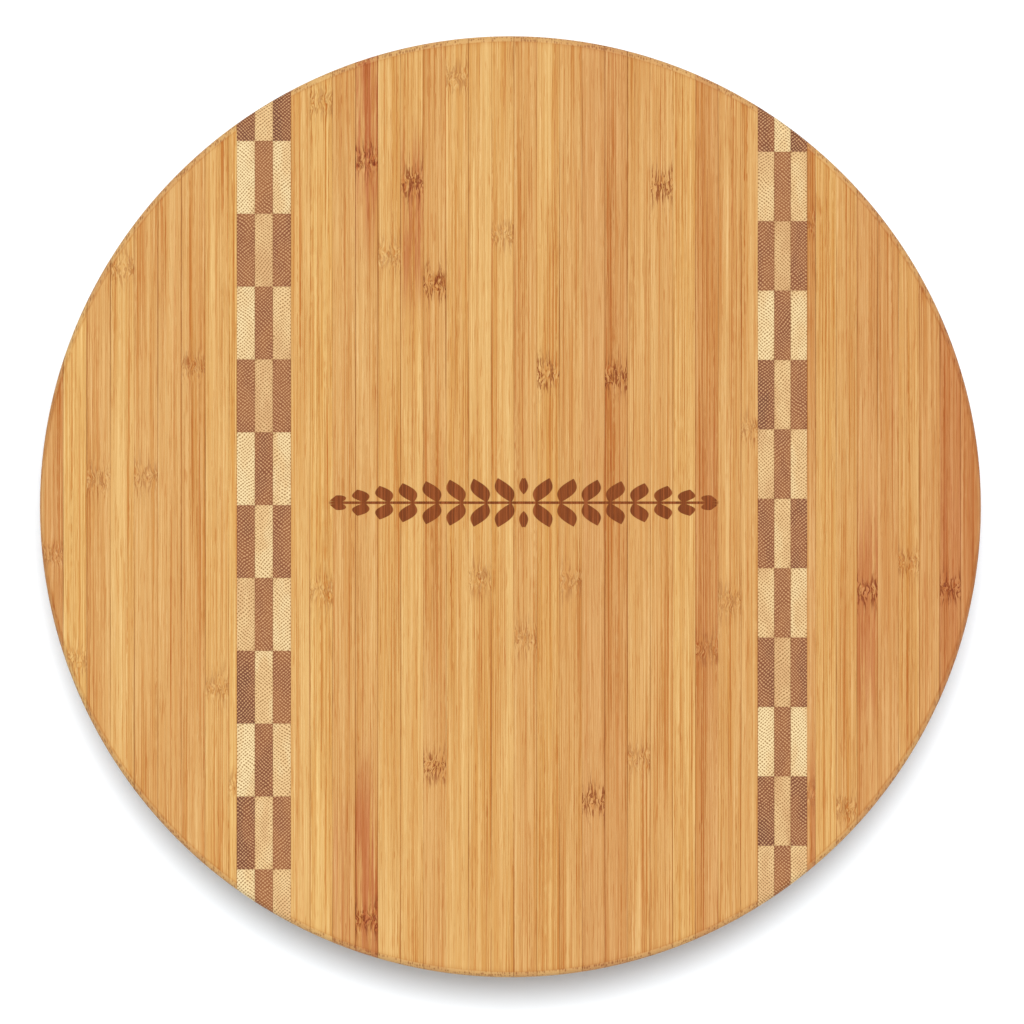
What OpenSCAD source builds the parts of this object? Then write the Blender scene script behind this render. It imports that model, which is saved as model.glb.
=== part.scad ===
// Lazy susan turntable: a round board of edge-glued bamboo staves with two chequered end-grain
// inlays, on a stamped ball bearing, over a small three-ply base that stands on rubber feet.
// Millimetres. +Z is up, the spin axis is Z, the staves run along Y, and Z = 0 is the table top.

/* [Board] */
// Diameter of the round board
board_d = 355.6; // [290:0.1:430]
// Thickness of the board
board_t = 18; // [14:0.1:24]
// Radius of the round-over along the board's upper and lower edges
board_edge_r = 2.5; // [1:0.1:5]

/* [Staves] */
// Number of staves in the panel left of the left inlay
left_staves = 9; // [6:1:10]
// Width of the trimmed stave that meets the left inlay
left_trim_w = 3; // [2:0.1:8]
// Number of staves in the panel between the inlays
centre_staves = 21; // [12:1:22]
// Width of the trimmed stave at the centre panel's left side
centre_left_trim_w = 7.2; // [2:0.1:8]
// Width of the trimmed stave at the centre panel's right side
centre_right_trim_w = 6.4; // [2:0.1:8]
// Number of staves in the panel right of the right inlay
right_staves = 9; // [6:1:10]
// Width of the trimmed stave that meets the right inlay
right_trim_w = 3.2; // [2:0.1:8]

/* [Inlays] */
// Distance from the board's centre to the left inlay's centre line
left_inlay_offset = 93.1; // [75:0.1:112]
// Width of one block of the left inlay
left_block_w = 6.8; // [4:0.1:9]
// Length of one block of the left inlay
left_block_l = 27.5; // [18:0.1:36]
// Height above the centre of the left inlay's nearest cross joint
left_joint_y = 0.6; // [-8:0.1:8]
// Distance from the board's centre to the right inlay's centre line
right_inlay_offset = 102.7; // [75:0.1:118]
// Width of one block of the right inlay
right_block_w = 6.2; // [4:0.1:9]
// Length of one block of the right inlay
right_block_l = 26.2; // [18:0.1:36]
// Height above the centre of the right inlay's nearest cross joint
right_joint_y = 3; // [-8:0.1:8]

/* [Bearing] */
// Side of each square bearing plate
plate_side = 152.4; // [125:0.1:190]
// Radius of the plates' corners
plate_corner_r = 14; // [6:0.5:20]
// Thickness of the plates' sheet steel
plate_t = 1; // [0.7:0.05:1.3]
// Distance from a plate's side to its screw holes
plate_hole_inset = 11.1; // [9:0.1:14]
// Diameter of the balls
ball_d = 4.76; // [4:0.01:5.8]
// Number of balls
ball_count = 24; // [12:1:36]
// Distance from a plate's side to the circle that the balls run on
race_inset = 24.2; // [20:0.1:28]
// Radial gap between a ball and its groove
race_clearance = 0.12; // [0.05:0.01:0.2]
// Height of a groove's outside above the plate's mounting face
race_lift = 0.5; // [0.2:0.05:0.8]
// Width of the raised ring outside the ball circle
ring_w = 10; // [8:0.5:12]
// Distance from the ball circle in to the hub that ties the two plates together
hub_inset = 15.1; // [12:0.1:22]
// Running gap between the hub and the upper plate
hub_clearance = 0.6; // [0.3:0.05:1]
// Distance that the hub's rolled lip reaches out over the upper plate
lip_reach = 4.5; // [2:0.1:5]
// Thickness of the hub's rolled lip
lip_t = 0.8; // [0.6:0.05:0.9]
// Running gap above and below the rolled lip
lip_clearance = 0.3; // [0.2:0.05:0.4]
// Thickness of the ball cage
cage_t = 1.6; // [1.2:0.1:2]
// Wall of the cage beside each ball
cage_wall = 2.5; // [1.5:0.1:3]
// Diametral gap between a ball and its pocket
pocket_clearance = 0.4; // [0.3:0.05:0.6]

/* [Base] */
// Distance from the circle of the bearing's screws out to the base's rim
base_margin = 23; // [18:0.5:50]
// Thickness of one ply of the base
ply_t = 3; // [2.8:0.1:4]
// Radius of the round-over along the base's upper and lower edges
base_edge_r = 1.5; // [0.5:0.1:2.5]
// Diameter of the hole that lets a screwdriver reach the upper plate's screws
access_hole_d = 16; // [12:0.5:20]

/* [Feet] */
// Number of rubber feet
foot_count = 4; // [3:1:6]
// Diameter of a foot where it meets the base
foot_d = 19; // [16:0.5:22]
// Height of a foot
foot_h = 5; // [4.6:0.1:7]
// Amount that a foot narrows from the base to the table
foot_taper = 2; // [0:0.1:4]
// Thickness of the rubber between the washer and the base
foot_floor_t = 1.2; // [0.8:0.1:1.4]
// Distance from the base's rim in to each foot's centre
foot_inset = 15; // [12:0.5:30]
// Diameter of the steel washer inside a foot
washer_d = 9.8; // [8:0.1:11]
// Thickness of the washer
washer_t = 0.8; // [0.6:0.1:1]

/* [Screws] */
// Diameter of a screw's shank
screw_d = 3.5; // [3:0.1:4]
// Diameter of a screw's head
screw_head_d = 7; // [6:0.1:7.5]
// Height of a screw's head
screw_head_h = 2; // [1.6:0.1:2.2]
// Depth that a plate screw bites into the wood
plate_screw_bite = 7; // [5:0.1:8]
// Depth that a foot screw bites into the wood
foot_screw_bite = 7; // [5:0.1:8]
// Length of a screw's pointed tip
screw_tip_h = 2.5; // [1.5:0.1:3]
// Gap round a screw where it passes through steel or rubber
screw_clearance = 0.5; // [0.2:0.05:0.6]
// Width of the cross recess in a screw's head
recess_w = 0.9; // [0.6:0.1:1.2]
// Length of the cross recess in a screw's head
recess_l = 3.8; // [3:0.1:4.4]
// Depth of the cross recess in a screw's head
recess_h = 1.2; // [0.8:0.1:1.4]

/* [Hidden] */
$fn = 64;
rim_fn = 200;
eps = 0.01;
inlay_columns = 3;
ply_count = 3;

// Levels, from the table up
base_z = foot_h;
base_t = ply_count * ply_t;
bearing_z = base_z + base_t;
bearing_h = ball_d + 2 * (race_clearance + plate_t + race_lift);
board_z = bearing_z + bearing_h;

// Edges of the inlays and of the three panels of staves
board_r = board_d / 2;
left_inlay_w = inlay_columns * left_block_w;
right_inlay_w = inlay_columns * right_block_w;
left_inlay_x0 = -left_inlay_offset - left_inlay_w / 2;
left_inlay_x1 = left_inlay_x0 + left_inlay_w;
right_inlay_x0 = right_inlay_offset - right_inlay_w / 2;
right_inlay_x1 = right_inlay_x0 + right_inlay_w;

// Widths of the staves that fill each panel beside its trimmed staves
left_stave_w = (board_r + left_inlay_x0 - left_trim_w) / (left_staves - 1);
centre_full_w = right_inlay_x0 - left_inlay_x1 - centre_left_trim_w - centre_right_trim_w;
centre_stave_w = centre_full_w / (centre_staves - 2);
right_stave_w = (board_r - right_inlay_x1 - right_trim_w) / (right_staves - 1);

// Bearing
race_r = plate_side / 2 - race_inset;
groove_r = ball_d / 2 + race_clearance;
ring_rise = lip_t + 2 * lip_clearance;
ring_z = plate_t + ring_rise;
flange_r = race_r + ring_w + ring_rise + plate_t;
hub_r = race_r - hub_inset;
pocket_d = ball_d + pocket_clearance;
plate_hole_d = screw_d + 2 * screw_clearance;
plate_hole_r = (plate_side / 2 - plate_hole_inset) * sqrt(2);

// Angles about the spin axis: the lower plate is turned so that its corners clear the access hole
upper_plate_turn = 0;
lower_plate_turn = 45;
access_hole_turn = 45;
foot_turn = 22.5;

// Base and feet
base_d = 2 * (plate_hole_r + base_margin);
foot_r = base_d / 2 - foot_inset;
recess_wall_gap = 0.1;
foot_recess_d = washer_d + 2 * recess_wall_gap;
foot_recess_h = foot_h - foot_floor_t;
foot_screw_z = foot_recess_h - washer_t;
foot_edge = 0.8;

BAMBOO = "burlywood";
DARK_BAMBOO = "sienna";

function numbered(name, count) = [for (i = [1:count]) str(name, i)];

// ---- Shared shapes ----

// Copies its children to count places on a circle about the spin axis
module around(count, r, first) {
    for (i = [0:count - 1])
        rotate([0, 0, first + i * 360 / count]) translate([r, 0, 0]) children();
}

// A disc with its rim rounded over at both edges
module eased_disc(d, t, edge_r) {
    rotate_extrude($fn = rim_fn) {
        square([d / 2 - edge_r, t]);
        translate([0, edge_r]) square([d / 2, t - 2 * edge_r]);
        for (z = [edge_r, t - edge_r])
            translate([d / 2 - edge_r, z]) circle(edge_r);
    }
}

// The part of a screw that sits in the wood and in the pieces it passes through, pointing up
module screw_shank(length) {
    cylinder(d = screw_d, h = length - screw_tip_h);
    translate([0, 0, length - screw_tip_h])
        cylinder(d1 = screw_d, d2 = screw_d / 5, h = screw_tip_h);
}

// A pan-head wood screw that points up, with the head's underside at Z = 0
module screw(length) {
    dome_h = 0.4 * screw_head_h;
    dome_r = (pow(screw_head_d / 2, 2) + pow(dome_h, 2)) / (2 * dome_h);
    screw_shank(length);
    difference() {
        rotate_extrude() intersection() {
            translate([0, -screw_head_h]) square([screw_head_d / 2, screw_head_h]);
            translate([0, dome_r - screw_head_h]) circle(dome_r);
        }
        for (turn = [0, 90])
            rotate([0, 0, turn]) translate([-recess_l / 2, -recess_w / 2, -screw_head_h - eps])
                cube([recess_l, recess_w, recess_h + eps]);
    }
}

// ---- Board ----

module upper_screw_places() {
    around(4, plate_hole_r, upper_plate_turn + 45)
        translate([0, 0, board_z - plate_t]) children();
}

// The whole board as one blank, with its four pilot holes, which each piece is cut from
module board_blank() {
    difference() {
        translate([0, 0, board_z]) eased_disc(board_d, board_t, board_edge_r);
        upper_screw_places() screw_shank(plate_t + plate_screw_bite);
    }
}

// One stave, from x0 to x1 across the board
module stave(x0, x1) {
    color(BAMBOO) intersection() {
        board_blank();
        translate([x0, -board_d, board_z]) cube([x1 - x0, 2 * board_d, board_t]);
    }
}

// Staves are counted from left to right. An outermost one starts beyond the rim.
module left_stave(i) {
    x0 = -board_r + (i - 1) * left_stave_w;
    stave(i == 1 ? x0 - 1 : x0, i == left_staves ? left_inlay_x0 : x0 + left_stave_w);
}

module centre_stave(i) {
    x0 = left_inlay_x1 + centre_left_trim_w + (i - 2) * centre_stave_w;
    stave(i == 1 ? left_inlay_x1 : x0, i == centre_staves ? right_inlay_x0 : x0 + centre_stave_w);
}

module right_stave(i) {
    x0 = right_inlay_x1 + right_trim_w + (i - 2) * right_stave_w;
    stave(i == 1 ? right_inlay_x1 : x0, x0 + right_stave_w + (i == right_staves ? 1 : 0));
}

// The end-grain blocks of one inlay that lie in the given columns and have the given shade.
// Columns and rows alternate, and light blocks are those where row plus column is even.
module inlay_blocks(x0, block_w, block_l, joint_y, columns, light) {
    first_row = floor((-board_r - joint_y) / block_l);
    last_row = ceil((board_r - joint_y) / block_l) - 1;
    color(light ? BAMBOO : DARK_BAMBOO) intersection() {
        board_blank();
        for (column = columns, row = [first_row:last_row])
            if (((row + column) % 2 == 0) == light)
                translate([x0 + column * block_w, joint_y + row * block_l, board_z])
                    cube([block_w, block_l, board_t]);
    }
}

module left_inlay(columns, light) {
    inlay_blocks(left_inlay_x0, left_block_w, left_block_l, left_joint_y, columns, light);
}

module right_inlay(columns, light) {
    inlay_blocks(right_inlay_x0, right_block_w, right_block_l, right_joint_y, columns, light);
}

// ---- Bearing ----

// Section of a plate's pressed ring, from inner_r out to the flange, with its mounting face at Z = 0
module ring_section(inner_r) {
    slope_in = plate_t * tan(22.5);
    slope_r = race_r + ring_w;
    groove = [race_r, bearing_h / 2];
    difference() {
        polygon([
            [inner_r, ring_z - plate_t], [slope_r - slope_in, ring_z - plate_t],
            [slope_r + ring_rise - slope_in, 0], [flange_r, 0],
            [flange_r, plate_t], [slope_r + ring_rise, plate_t],
            [slope_r, ring_z], [inner_r, ring_z]]);
        translate(groove) circle(groove_r + plate_t);
    }
    intersection() {
        translate(groove) difference() {
            circle(groove_r + plate_t);
            circle(groove_r);
        }
        translate([inner_r, 0]) square([2 * ring_w + race_r - inner_r, ring_z]);
    }
}

// Square flange with round corners, four screw holes and a round opening for the pressed ring
module plate_flange() {
    straight = plate_side - 2 * plate_corner_r;
    corner = straight / 2;
    linear_extrude(plate_t) difference() {
        union() {
            square([plate_side, straight], center = true);
            square([straight, plate_side], center = true);
            for (x = [-corner, corner], y = [-corner, corner])
                translate([x, y]) circle(plate_corner_r);
        }
        circle(flange_r);
        around(4, plate_hole_r, 45) circle(d = plate_hole_d);
    }
}

module upper_bearing_plate() {
    color("silver") translate([0, 0, board_z]) rotate([180, 0, upper_plate_turn]) {
        rotate_extrude() ring_section(hub_r + hub_clearance);
        plate_flange();
    }
}

// The lower plate's inner edge is drawn up into a hub and rolled out over the upper plate
module lower_bearing_plate() {
    lip_z = bearing_h - lip_clearance - lip_t;
    color("silver") translate([0, 0, bearing_z]) rotate([0, 0, lower_plate_turn]) {
        rotate_extrude() {
            ring_section(hub_r);
            translate([hub_r - plate_t, ring_z - plate_t])
                square([plate_t, lip_z + lip_t - ring_z + plate_t]);
            translate([hub_r - plate_t, lip_z]) square([plate_t + lip_reach, lip_t]);
        }
        plate_flange();
    }
}

module ball_cage() {
    ring = pocket_d / 2 + cage_wall;
    color("ivory") translate([0, 0, bearing_z + (bearing_h - cage_t) / 2])
        linear_extrude(cage_t) difference() {
            circle(race_r + ring);
            circle(race_r - ring);
            around(ball_count, race_r, 0) circle(d = pocket_d);
        }
}

module bearing_balls() {
    color("gainsboro") around(ball_count, race_r, 0)
        translate([0, 0, bearing_z + bearing_h / 2]) sphere(d = ball_d);
}

// Upper plate screws point up into the board
module upper_plate_screws() {
    color("lightgray") upper_screw_places() screw(plate_t + plate_screw_bite);
}

module lower_screw_places() {
    around(4, plate_hole_r, lower_plate_turn + 45)
        translate([0, 0, bearing_z + plate_t]) rotate([180, 0, 0]) children();
}

// Lower plate screws point down into the base
module lower_plate_screws() {
    color("lightgray") lower_screw_places() screw(plate_t + plate_screw_bite);
}

// ---- Base and feet ----

module foot_screw_places() {
    around(foot_count, foot_r, foot_turn) translate([0, 0, foot_screw_z]) children();
}

foot_screw_l = washer_t + foot_floor_t + foot_screw_bite;

// One ply of the base, counted from below, with every hole that passes through it
module base_ply(i) {
    color(i == 2 ? "tan" : BAMBOO) difference() {
        intersection() {
            translate([0, 0, base_z]) eased_disc(base_d, base_t, base_edge_r);
            translate([-base_d, -base_d, base_z + (i - 1) * ply_t])
                cube([2 * base_d, 2 * base_d, ply_t]);
        }
        around(1, plate_hole_r, access_hole_turn)
            translate([0, 0, base_z - 1]) cylinder(d = access_hole_d, h = base_t + 2);
        lower_screw_places() screw_shank(plate_t + plate_screw_bite);
        foot_screw_places() screw_shank(foot_screw_l);
    }
}

module rubber_feet() {
    color("dimgray") around(foot_count, foot_r, foot_turn) difference() {
        union() {
            cylinder(d1 = foot_d - foot_taper - 2 * foot_edge, d2 = foot_d - foot_taper, h = foot_edge);
            translate([0, 0, foot_edge])
                cylinder(d1 = foot_d - foot_taper, d2 = foot_d, h = foot_h - foot_edge);
        }
        translate([0, 0, -1]) cylinder(d = foot_recess_d, h = foot_recess_h + 1);
        cylinder(d = screw_d + 2 * screw_clearance, h = foot_h + 1);
    }
}

module foot_washers() {
    color("silver") foot_screw_places() difference() {
        cylinder(d = washer_d, h = washer_t);
        translate([0, 0, -1]) cylinder(d = screw_d + 2 * screw_clearance, h = washer_t + 2);
    }
}

module foot_screws() {
    color("lightgray") foot_screw_places() screw(foot_screw_l);
}

// ---- Nodes ----

for (i = [1:left_staves])
    left_stave(i);
for (i = [1:centre_staves])
    centre_stave(i);
for (i = [1:right_staves])
    right_stave(i);

left_inlay([0, 2], true);  // left_inlay_light_edge_blocks
left_inlay([1], true);  // left_inlay_light_centre_blocks
left_inlay([0, 2], false);  // left_inlay_dark_edge_blocks
left_inlay([1], false);  // left_inlay_dark_centre_blocks
right_inlay([0, 2], true);  // right_inlay_light_edge_blocks
right_inlay([1], true);  // right_inlay_light_centre_blocks
right_inlay([0, 2], false);  // right_inlay_dark_edge_blocks
right_inlay([1], false);  // right_inlay_dark_centre_blocks

upper_bearing_plate();
upper_plate_screws();
ball_cage();
bearing_balls();
lower_bearing_plate();
lower_plate_screws();
base_ply(3);  // base_top_ply
base_ply(2);  // base_core_ply
base_ply(1);  // base_bottom_ply
rubber_feet();
foot_washers();
foot_screws();
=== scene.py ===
"""Looks of a lazy susan turntable: a round bamboo board on a ball bearing over a small base."""

import logging
from collections.abc import Callable
from dataclasses import dataclass, field
from enum import Enum
from math import cos, pi, radians, sin, sqrt
from typing import ClassVar

import bpy
import numpy as np
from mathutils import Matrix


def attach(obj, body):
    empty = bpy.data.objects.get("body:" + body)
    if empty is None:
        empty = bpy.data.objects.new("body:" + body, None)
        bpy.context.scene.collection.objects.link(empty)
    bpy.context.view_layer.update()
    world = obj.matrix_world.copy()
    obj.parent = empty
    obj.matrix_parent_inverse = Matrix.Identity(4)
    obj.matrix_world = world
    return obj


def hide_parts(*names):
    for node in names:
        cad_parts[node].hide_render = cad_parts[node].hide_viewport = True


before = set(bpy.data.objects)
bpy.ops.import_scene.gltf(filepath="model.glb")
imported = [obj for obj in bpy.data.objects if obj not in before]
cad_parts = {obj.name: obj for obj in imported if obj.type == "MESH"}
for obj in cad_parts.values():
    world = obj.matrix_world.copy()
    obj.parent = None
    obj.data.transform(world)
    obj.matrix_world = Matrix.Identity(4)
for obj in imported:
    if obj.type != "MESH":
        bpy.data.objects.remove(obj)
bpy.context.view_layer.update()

log = logging.getLogger("turntable")
MM = 0.001
Socket = bpy.types.NodeSocket
Colour = tuple[float, float, float, float]
Mark = float | Callable[[np.ndarray], np.ndarray]
SMOOTH = {"interpolation_type": "SMOOTHSTEP"}
COLOUR = {"data_type": "RGBA"}
STAIN = {"data_type": "RGBA", "blend_type": "MULTIPLY"}


# ---- Tools ----


def linear(code: str) -> Colour:
    """Turns an sRGB hex colour into the linear colour that a shader takes.

    Each channel c becomes c / 12.92 up to 0.04045, and ((c + 0.055) / 1.055) ** 2.4 above it.

    Args:
        code: The colour as six hex digits.

    Returns:
        Red, green, blue and an alpha of 1.
    """
    channels = [int(code[i : i + 2], 16) / 255 for i in (0, 2, 4)]
    red, green, blue = (
        c / 12.92 if c <= 0.04045 else ((c + 0.055) / 1.055) ** 2.4 for c in channels
    )
    return red, green, blue, 1.0


class Graph:
    """The node tree of one new material, which ends in a Principled shader."""

    def __init__(self, name: str) -> None:
        """Makes the material with its shader and output.

        Args:
            name: The material's name.
        """
        self.material = bpy.data.materials.new(name)
        self.material.use_nodes = True
        self.tree = self.material.node_tree
        self.tree.nodes.clear()
        self.shader = self.tree.nodes.new("ShaderNodeBsdfPrincipled")
        output = self.tree.nodes.new("ShaderNodeOutputMaterial")
        self.tree.links.new(self.shader.outputs[0], output.inputs[0])

    def fill(self, node: bpy.types.Node, inputs: dict) -> None:
        """Sets a node's sockets to values, or links them.

        Args:
            node: The node to fill.
            inputs: A value or another node's output for each socket, by name or number.
        """
        for key, value in inputs.items():
            if isinstance(value, Socket):
                self.tree.links.new(value, node.inputs[key])
            else:
                node.inputs[key].default_value = value

    def add(
        self,
        kind: str,
        settings: dict | None = None,
        inputs: dict | None = None,
        out: int | str = 0,
    ) -> Socket:
        """Adds a node with its settings and links.

        Args:
            kind: The node's type, without its ShaderNode prefix.
            settings: Values of the node's own properties.
            inputs: A value or another node's output for each socket, by name or number.
            out: The output to return, by name or number.

        Returns:
            The chosen output.
        """
        node = self.tree.nodes.new("ShaderNode" + kind)
        for key, value in (settings or {}).items():
            setattr(node, key, value)
        self.fill(node, inputs or {})
        return node.outputs[out]


@dataclass
class Shell:
    """Collects grids of points, with values at each point, and makes one closed mesh of them."""

    points: list[np.ndarray] = field(default_factory=list)
    quads: list[np.ndarray] = field(default_factory=list)
    values: list[dict[str, np.ndarray]] = field(default_factory=list)
    count: int = 0

    def grid(
        self,
        points: np.ndarray,
        flip: bool = False,
        wrap: bool = False,
        **values: np.ndarray | float,
    ) -> None:
        """Adds a surface that is a grid of points.

        The quad at (i, j) joins (i, j), (i + 1, j), (i + 1, j + 1) and (i, j + 1).

        Args:
            points: Places in metres, as an array of rows, columns and three numbers.
            flip: Whether to turn the faces over.
            wrap: Whether the last row joins the first.
            **values: A number for each point, or one for all, by attribute name.
        """
        rows, columns = points.shape[:2]
        index = self.count + np.arange(rows * columns).reshape(rows, columns)
        if wrap:
            index = np.vstack([index, index[:1]])
        quads = np.stack([index[:-1, :-1], index[1:, :-1], index[1:, 1:], index[:-1, 1:]], -1)
        quads = quads.reshape(-1, 4)
        self.quads.append(quads[:, ::-1] if flip else quads)
        self.points.append(points.reshape(-1, 3))
        self.values.append(
            {k: np.broadcast_to(v, (rows, columns)).reshape(-1) for k, v in values.items()}
        )
        self.count += rows * columns

    def build(
        self, name: str, material: bpy.types.Material, sharp: float = 35
    ) -> bpy.types.Object:
        """Merges the grids' shared edges and makes the object.

        Args:
            name: The piece's name.
            material: The piece's material.
            sharp: The angle in degrees past which an edge stays crisp.

        Returns:
            The new object, at the origin.
        """
        points = np.concatenate(self.points)
        cells = np.round(points / 1e-7).astype(np.int64)
        _, first, whole = np.unique(cells, axis=0, return_index=True, return_inverse=True)
        quads = whole.reshape(-1)[np.concatenate(self.quads)]
        loops = [list(dict.fromkeys(quad)) for quad in quads.tolist()]
        faces = [loop for loop in loops if len(loop) > 2]
        mesh = bpy.data.meshes.new(name)
        mesh.from_pydata(points[first], [], faces)
        for key in self.values[0]:
            layer = mesh.attributes.new(key, "FLOAT", "POINT")
            data = np.concatenate([v[key] for v in self.values])[first]
            layer.data.foreach_set("value", data.astype(np.float32))
        mesh.polygons.foreach_set("use_smooth", np.ones(len(mesh.polygons), bool))
        mesh.set_sharp_from_angle(angle=radians(sharp))
        mesh.materials.append(material)
        piece = bpy.data.objects.new(name, mesh)
        bpy.context.scene.collection.objects.link(piece)
        return piece


def mount(piece: bpy.types.Object, body: str, node: str) -> None:
    """Puts a finished piece on its body in place of its CAD node, and reports it.

    Args:
        piece: The new piece.
        body: The body that it moves with.
        node: The CAD node that it stands for.
    """
    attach(piece, body)
    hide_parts(node)
    log.info("%s on %s: %d faces", piece.name, body, len(piece.data.polygons))


def lathe(profile: np.ndarray, steps: int) -> np.ndarray:
    """Turns a profile about the Z axis.

    Point (i, j) is (r_j cos a_i, r_j sin a_i, z_j), with a_i = 2 pi i / steps.

    Args:
        profile: Radius and height of each point, in metres.
        steps: The number of places round the axis.

    Returns:
        The grid of points, which wraps from its last row to its first.
    """
    angle = np.arange(steps)[:, None] * 2 * pi / steps
    radius, height = profile[None, :, 0], profile[None, :, 1]
    return np.stack(
        [radius * np.cos(angle), radius * np.sin(angle), height + 0 * angle], -1
    )


def ring_places(count: int, radius: float, first: float, height: float) -> np.ndarray:
    """Gives places on a circle about the spin axis.

    Place k is at the angle first + 360 k / count.

    Args:
        count: The number of places.
        radius: The circle's radius, in metres.
        first: The first place's angle, in degrees.
        height: The height of the circle, in metres.

    Returns:
        One row of x, y and z for each place.
    """
    angle = np.radians(first + 360 * np.arange(count) / count)
    return np.stack(
        [radius * np.cos(angle), radius * np.sin(angle), np.full(count, height)], -1
    )


# ---- Finishes ----


@dataclass(frozen=True)
class LongGrainBamboo:
    """Natural bamboo strip, planed and sanded across its side grain and wiped with oil.

    It gives the eye fine straight fibres of straw and amber, broken by darker brushed knuckles
    where the cane had its joints, and dots where the fibres end at the rim.
    """

    name: str = "bamboo side grain planed and oiled"
    palest: str = "c69f5e"
    reddest: str = "ac7341"
    stain: str = "a0562a"
    scorch: str = "662e06"
    fibre_w: float = 0.44  # mm; real fibres are about 0.3 mm, drawn coarser so that they show
    fibre_l: float = 42.0  # mm
    stripe_w: float = 1.3  # mm, the width of a stripe of denser wood
    band_w: float = 5.0  # mm, the width of a broad change of tone
    hair_w: float = 0.45  # mm, the width of a dark open fibre
    fleck_l: float = 14.0  # mm, the length of a short dark fibre
    dot_pitch: float = 0.9  # mm between fibre bundles in the end grain
    knuckle_reach: float = 12.0  # mm that the marks run along the fibres from a knuckle
    roughness: float = 0.64
    sprig_at: tuple[float, float] = (5.0, 1.5)  # mm, the burnt sprig's centre
    sprig_l: float = 74.0  # mm, half its length
    sprig_h: float = 9.4  # mm, half its height
    leaf_pitch: float = 9.25  # mm from leaf to leaf

    def sprig(self, g: Graph, spot: Socket) -> Socket:
        """Works out where the burnt-in sprig of leaves is.

        With X the distance from its middle and v the height above or below its stem, a leaf is
        where |f - 1/2| < 0.36 sin(pi v / h), with f the fraction of (X - 0.55 v) / pitch and
        h = H (1 - (X / L)^2)^0.5. The stem is where v < 0.45 mm.

        Args:
            g: The material's graph.
            spot: The place in metres.

        Returns:
            1 on the sprig and 0 off it, with a soft edge.
        """
        away = g.add(
            "VectorMath",
            {"operation": "MULTIPLY_ADD"},
            {0: spot, 1: (1000, 1000, 1000), 2: (-self.sprig_at[0], -self.sprig_at[1], 0)},
        )
        away = g.add("VectorMath", {"operation": "ABSOLUTE"}, {0: away})
        far = g.add("SeparateXYZ", {}, {0: away}, "X")
        high = g.add("SeparateXYZ", {}, {0: away}, "Y")
        share = g.add("Math", {"operation": "DIVIDE"}, {0: far, 1: self.sprig_l})
        share = g.add("Math", {"operation": "POWER"}, {0: share, 1: 2})
        share = g.add("Math", {"operation": "SUBTRACT", "use_clamp": True}, {0: 1, 1: share})
        tall = g.add("Math", {"operation": "SQRT"}, {0: share})
        tall = g.add("Math", {"operation": "MULTIPLY_ADD"}, {0: tall, 1: self.sprig_h, 2: 0.001})
        up = g.add("Math", {"operation": "DIVIDE", "use_clamp": True}, {0: high, 1: tall})
        wide = g.add("Math", {"operation": "MULTIPLY"}, {0: up, 1: pi})
        wide = g.add("Math", {"operation": "SINE"}, {0: wide})
        lean = g.add("Math", {"operation": "MULTIPLY_ADD"}, {0: high, 1: -0.55, 2: far})
        part = g.add("Math", {"operation": "DIVIDE"}, {0: lean, 1: self.leaf_pitch})
        part = g.add("Math", {"operation": "FRACT"}, {0: part})
        part = g.add("Math", {"operation": "SUBTRACT"}, {0: part, 1: 0.5})
        part = g.add("Math", {"operation": "ABSOLUTE"}, {0: part})
        inside = g.add("Math", {"operation": "MULTIPLY_ADD"}, {0: wide, 1: -0.36, 2: part})
        leaf = g.add("MapRange", SMOOTH, {0: inside, 1: -0.02, 2: 0.02, 3: 1, 4: 0})
        below = g.add("Math", {"operation": "LESS_THAN"}, {0: up, 1: 0.99})
        leaf = g.add("Math", {"operation": "MULTIPLY"}, {0: leaf, 1: below})
        stem = g.add("MapRange", SMOOTH, {0: high, 1: 0.35, 2: 0.6, 3: 1, 4: 0})
        mark = g.add("Math", {"operation": "MAXIMUM"}, {0: leaf, 1: stem})
        ends = g.add("MapRange", SMOOTH, {0: share, 1: 0.0, 2: 0.04, 3: 0, 4: 1})
        mark = g.add("Math", {"operation": "MULTIPLY"}, {0: mark, 1: ends})
        facing = g.add("SeparateXYZ", {}, {0: g.add("TexCoord", out="Normal")}, "Z")
        facing = g.add("Math", {"operation": "GREATER_THAN"}, {0: facing, 1: 0.7})
        return g.add("Math", {"operation": "MULTIPLY"}, {0: mark, 1: facing})

    def material(self) -> bpy.types.Material:
        """Builds the material.

        Returns:
            The material, which reads each stave's seed, shade, knuckle, force, stain, side and
            joint values.
        """
        g = Graph(self.name)
        value = {
            key: g.add("Attribute", {"attribute_name": key}, out="Fac")
            for key in ("shade", "knuckle", "force", "stain", "side", "joint")
        }
        seed = g.add("Attribute", {"attribute_name": "seed"}, out="Vector")
        spot = g.add("TexCoord", out="Object")
        place = g.add(
            "VectorMath", {"operation": "MULTIPLY_ADD"}, {0: spot, 1: (1000, 1000, 1000), 2: seed}
        )
        near = g.add(
            "MapRange", SMOOTH, {0: value["knuckle"], 1: 0, 2: self.knuckle_reach, 3: 1, 4: 0}
        )
        # Fibres swirl round the middle of a knuckle and run straight a little further off
        bend_at = g.add("VectorMath", {"operation": "MULTIPLY"}, {0: place, 1: (0.34, 0.2, 0.34)})
        bend = g.add("TexNoise", {}, {"Vector": bend_at, "Scale": 1, "Detail": 1.5}, "Color")
        bend = g.add("VectorMath", {"operation": "SUBTRACT"}, {0: bend, 1: (0.5, 0.5, 0.5)})
        swirl = g.add("Math", {"operation": "POWER"}, {0: near, 1: 5})
        sway = g.add("Math", {"operation": "MULTIPLY_ADD"}, {0: swirl, 1: 3.8, 2: 0.25})
        bend = g.add("VectorMath", {"operation": "SCALE"}, {0: bend, "Scale": sway})
        bent = g.add("VectorMath", {}, {0: place, 1: bend})

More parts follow.
